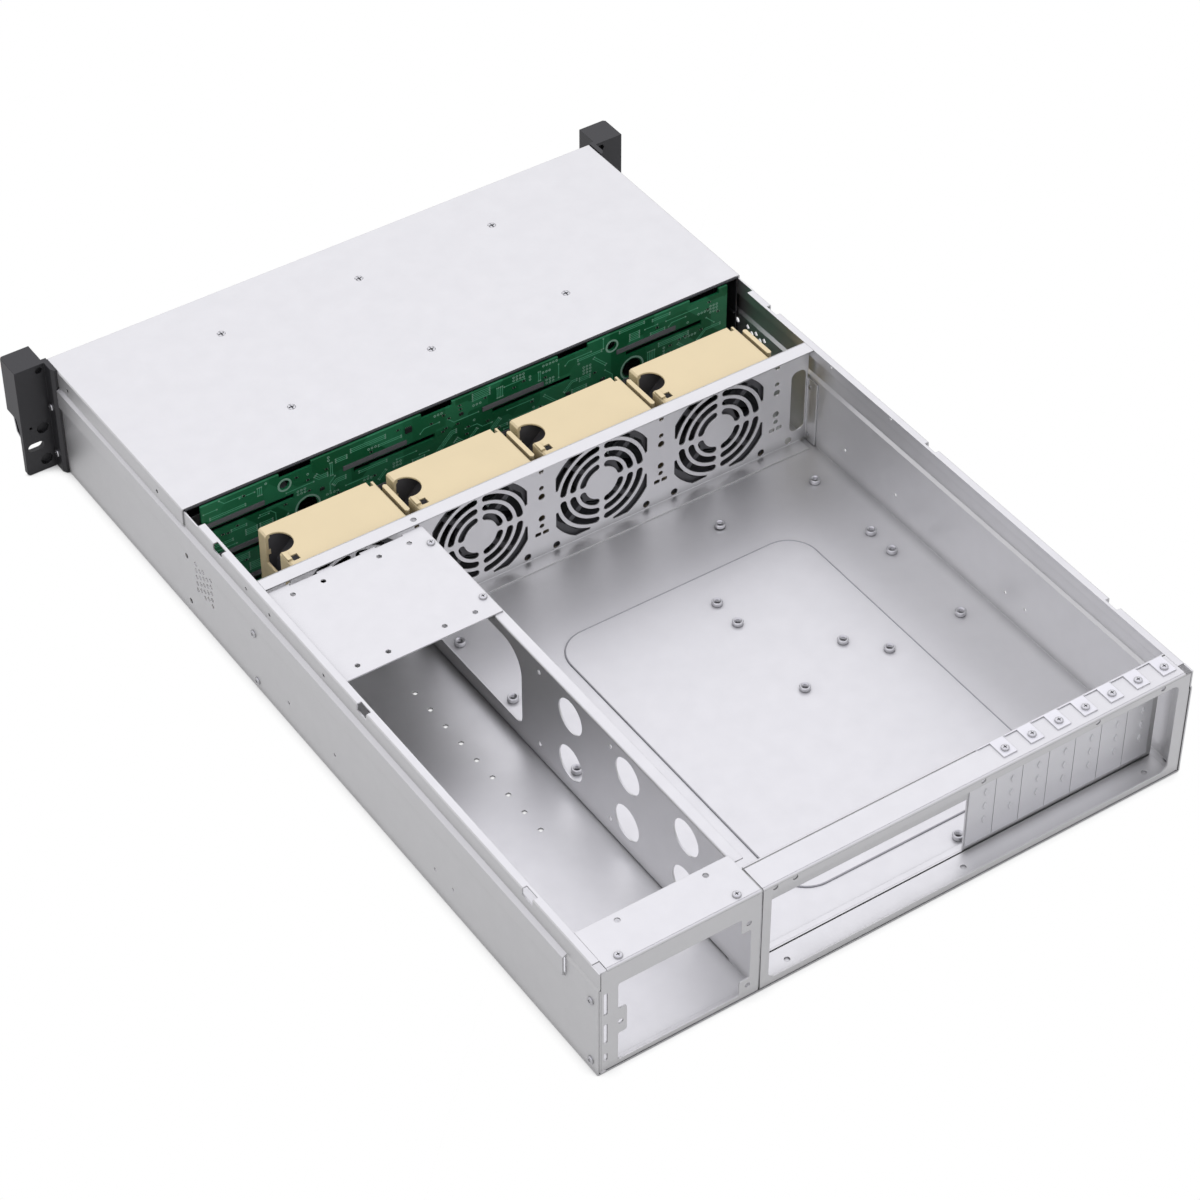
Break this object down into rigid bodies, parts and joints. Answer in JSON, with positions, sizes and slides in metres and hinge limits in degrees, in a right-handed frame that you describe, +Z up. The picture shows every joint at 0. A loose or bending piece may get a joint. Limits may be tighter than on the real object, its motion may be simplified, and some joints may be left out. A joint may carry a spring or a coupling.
{
  "type": "rackmount server case",
  "caption": "Empty two-unit rackmount server case with its rear top cover off, showing the fan modules, drive backplane, power supply bay and bare motherboard area.",
  "frame": {"origin": "underside of the base, in the middle of the body", "axes": "+Z up, front with the rack ears faces -Y, power supply bay on the +X side"},
  "size_m": [0.4826, 0.6681, 0.0884],
  "materials": {
    "case_steel": "plain zinc-coated sheet, satin",
    "cover_steel": "plain zinc-coated sheet, satin",
    "wall_steel": "plain zinc-coated sheet, satin",
    "divider_steel": "plain zinc-coated sheet, satin",
    "plate_steel": "plain zinc-coated sheet, satin",
    "rear_steel": "plain zinc-coated sheet, satin",
    "slot_cover_steel": "bright plated sheet",
    "cage_steel": "plain zinc-coated sheet, satin",
    "circuit_board": "green solder mask with traces",
    "connector_plastic": "grey moulded sockets",
    "ear_metal": "dark charcoal powder coat",
    "trim_metal": "bright strip",
    "screw_steel": "plated screws",
    "standoff_brass": "plain machined brass",
    "housing_plastic": "cream moulded plastic",
    "fan_plastic": "dark moulded plastic",
    "rotor_plastic": "black moulded plastic",
    "tray": "dark moulded tray",
    "lever": "dark moulded lever",
    "button_plastic": "grey button",
    "light_lens": "clear lens"
  },
  "bodies": {
    "case": {"backplane": "circuit_board", "backplane_connectors": "connector_plastic", "base_tray": "case_steel", "board_standoffs": "standoff_brass", "cage_top": "cage_steel", "cage_walls": "cage_steel", "cover_screws": "screw_steel", "ear_left": "ear_metal", "ear_right": "ear_metal", "ear_screws": "screw_steel", "ear_trims": "trim_metal", "fan_wall": "wall_steel", "front_cover": "cover_steel", "psu_bay_plate": "plate_steel", "psu_bay_screws": "screw_steel", "psu_divider": "divider_steel", "rear_io_frame": "rear_steel", "rear_psu_frame": "rear_steel", "rear_slot_wall": "rear_steel", "side_screws": "screw_steel", "slot_covers": "slot_cover_steel", "slot_screws": "screw_steel", "status_lights": "light_lens"},
    "tray_1": {"drive_tray_1": "tray"},
    "lever_1": {"tray_lever_1": "lever"},
    "tray_2": {"drive_tray_2": "tray"},
    "lever_2": {"tray_lever_2": "lever"},
    "tray_3": {"drive_tray_3": "tray"},
    "lever_3": {"tray_lever_3": "lever"},
    "tray_4": {"drive_tray_4": "tray"},
    "lever_4": {"tray_lever_4": "lever"},
    "tray_5": {"drive_tray_5": "tray"},
    "lever_5": {"tray_lever_5": "lever"},
    "tray_6": {"drive_tray_6": "tray"},
    "lever_6": {"tray_lever_6": "lever"},
    "tray_7": {"drive_tray_7": "tray"},
    "lever_7": {"tray_lever_7": "lever"},
    "tray_8": {"drive_tray_8": "tray"},
    "lever_8": {"tray_lever_8": "lever"},
    "tray_9": {"drive_tray_9": "tray"},
    "lever_9": {"tray_lever_9": "lever"},
    "tray_10": {"drive_tray_10": "tray"},
    "lever_10": {"tray_lever_10": "lever"},
    "tray_11": {"drive_tray_11": "tray"},
    "lever_11": {"tray_lever_11": "lever"},
    "tray_12": {"drive_tray_12": "tray"},
    "lever_12": {"tray_lever_12": "lever"},
    "fan_module_1": {"fan_housing_1": "housing_plastic", "fan_frame_1": "fan_plastic"},
    "rotor_1": {"fan_rotor_1": "rotor_plastic"},
    "fan_module_2": {"fan_housing_2": "housing_plastic", "fan_frame_2": "fan_plastic"},
    "rotor_2": {"fan_rotor_2": "rotor_plastic"},
    "fan_module_3": {"fan_housing_3": "housing_plastic", "fan_frame_3": "fan_plastic"},
    "rotor_3": {"fan_rotor_3": "rotor_plastic"},
    "fan_module_4": {"fan_housing_4": "housing_plastic", "fan_frame_4": "fan_plastic"},
    "rotor_4": {"fan_rotor_4": "rotor_plastic"},
    "button": {"power_button": "button_plastic"}
  },
  "joints": [
    {"name": "tray_slide_1", "type": "slide", "parent": "case", "child": "tray_1", "axis": [0, -1, 0], "range_m": [0, 0.145]},
    {"name": "lever_hinge_1", "type": "hinge", "parent": "tray_1", "child": "lever_1", "pos_m": [-0.2063, -0.3188, 0.0019], "axis": [0, 0, -1], "range_deg": [0, 60]},
    {"name": "tray_slide_2", "type": "slide", "parent": "case", "child": "tray_2", "axis": [0, -1, 0], "range_m": [0, 0.145]},
    {"name": "lever_hinge_2", "type": "hinge", "parent": "tray_2", "child": "lever_2", "pos_m": [-0.09965, -0.3188, 0.0019], "axis": [0, 0, -1], "range_deg": [0, 60]},
    {"name": "tray_slide_3", "type": "slide", "parent": "case", "child": "tray_3", "axis": [0, -1, 0], "range_m": [0, 0.145]},
    {"name": "lever_hinge_3", "type": "hinge", "parent": "tray_3", "child": "lever_3", "pos_m": [0.007, -0.3188, 0.0019], "axis": [0, 0, -1], "range_deg": [0, 60]},
    {"name": "tray_slide_4", "type": "slide", "parent": "case", "child": "tray_4", "axis": [0, -1, 0], "range_m": [0, 0.145]},
    {"name": "lever_hinge_4", "type": "hinge", "parent": "tray_4", "child": "lever_4", "pos_m": [0.11365, -0.3188, 0.0019], "axis": [0, 0, -1], "range_deg": [0, 60]},
    {"name": "tray_slide_5", "type": "slide", "parent": "case", "child": "tray_5", "axis": [0, -1, 0], "range_m": [0, 0.145]},
    {"name": "lever_hinge_5", "type": "hinge", "parent": "tray_5", "child": "lever_5", "pos_m": [-0.2063, -0.3188, 0.0297], "axis": [0, 0, -1], "range_deg": [0, 60]},
    {"name": "tray_slide_6", "type": "slide", "parent": "case", "child": "tray_6", "axis": [0, -1, 0], "range_m": [0, 0.145]},
    {"name": "lever_hinge_6", "type": "hinge", "parent": "tray_6", "child": "lever_6", "pos_m": [-0.09965, -0.3188, 0.0297], "axis": [0, 0, -1], "range_deg": [0, 60]},
    {"name": "tray_slide_7", "type": "slide", "parent": "case", "child": "tray_7", "axis": [0, -1, 0], "range_m": [0, 0.145]},
    {"name": "lever_hinge_7", "type": "hinge", "parent": "tray_7", "child": "lever_7", "pos_m": [0.007, -0.3188, 0.0297], "axis": [0, 0, -1], "range_deg": [0, 60]},
    {"name": "tray_slide_8", "type": "slide", "parent": "case", "child": "tray_8", "axis": [0, -1, 0], "range_m": [0, 0.145]},
    {"name": "lever_hinge_8", "type": "hinge", "parent": "tray_8", "child": "lever_8", "pos_m": [0.11365, -0.3188, 0.0297], "axis": [0, 0, -1], "range_deg": [0, 60]},
    {"name": "tray_slide_9", "type": "slide", "parent": "case", "child": "tray_9", "axis": [0, -1, 0], "range_m": [0, 0.145]},
    {"name": "lever_hinge_9", "type": "hinge", "parent": "tray_9", "child": "lever_9", "pos_m": [-0.2063, -0.3188, 0.0575], "axis": [0, 0, -1], "range_deg": [0, 60]},
    {"name": "tray_slide_10", "type": "slide", "parent": "case", "child": "tray_10", "axis": [0, -1, 0], "range_m": [0, 0.145]},
    {"name": "lever_hinge_10", "type": "hinge", "parent": "tray_10", "child": "lever_10", "pos_m": [-0.09965, -0.3188, 0.0575], "axis": [0, 0, -1], "range_deg": [0, 60]},
    {"name": "tray_slide_11", "type": "slide", "parent": "case", "child": "tray_11", "axis": [0, -1, 0], "range_m": [0, 0.145]},
    {"name": "lever_hinge_11", "type": "hinge", "parent": "tray_11", "child": "lever_11", "pos_m": [0.007, -0.3188, 0.0575], "axis": [0, 0, -1], "range_deg": [0, 60]},
    {"name": "tray_slide_12", "type": "slide", "parent": "case", "child": "tray_12", "axis": [0, -1, 0], "range_m": [0, 0.145]},
    {"name": "lever_hinge_12", "type": "hinge", "parent": "tray_12", "child": "lever_12", "pos_m": [0.11365, -0.3188, 0.0575], "axis": [0, 0, -1], "range_deg": [0, 60]},
    {"name": "fan_lift_1", "type": "slide", "parent": "case", "child": "fan_module_1", "axis": [0, 0, 1], "range_m": [0, 0.095]},
    {"name": "fan_spin_1", "type": "hinge", "parent": "fan_module_1", "child": "rotor_1", "pos_m": [-0.141, -0.084, 0.042], "axis": [0, 1, 0], "continuous": true},
    {"name": "fan_lift_2", "type": "slide", "parent": "case", "child": "fan_module_2", "axis": [0, 0, 1], "range_m": [0, 0.095]},
    {"name": "fan_spin_2", "type": "hinge", "parent": "fan_module_2", "child": "rotor_2", "pos_m": [-0.047, -0.084, 0.042], "axis": [0, 1, 0], "continuous": true},
    {"name": "fan_lift_3", "type": "slide", "parent": "case", "child": "fan_module_3", "axis": [0, 0, 1], "range_m": [0, 0.095]},
    {"name": "fan_spin_3", "type": "hinge", "parent": "fan_module_3", "child": "rotor_3", "pos_m": [0.047, -0.084, 0.042], "axis": [0, 1, 0], "continuous": true},
    {"name": "fan_lift_4", "type": "slide", "parent": "case", "child": "fan_module_4", "axis": [0, 0, 1], "range_m": [0, 0.095]},
    {"name": "fan_spin_4", "type": "hinge", "parent": "fan_module_4", "child": "rotor_4", "pos_m": [0.141, -0.084, 0.042], "axis": [0, 1, 0], "continuous": true},
    {"name": "button_press", "type": "slide", "parent": "case", "child": "button", "axis": [0, 1, 0], "range_m": [0, 0.001], "stiffness_N_per_m": 400, "springref_m": -0.0005}
  ]
}
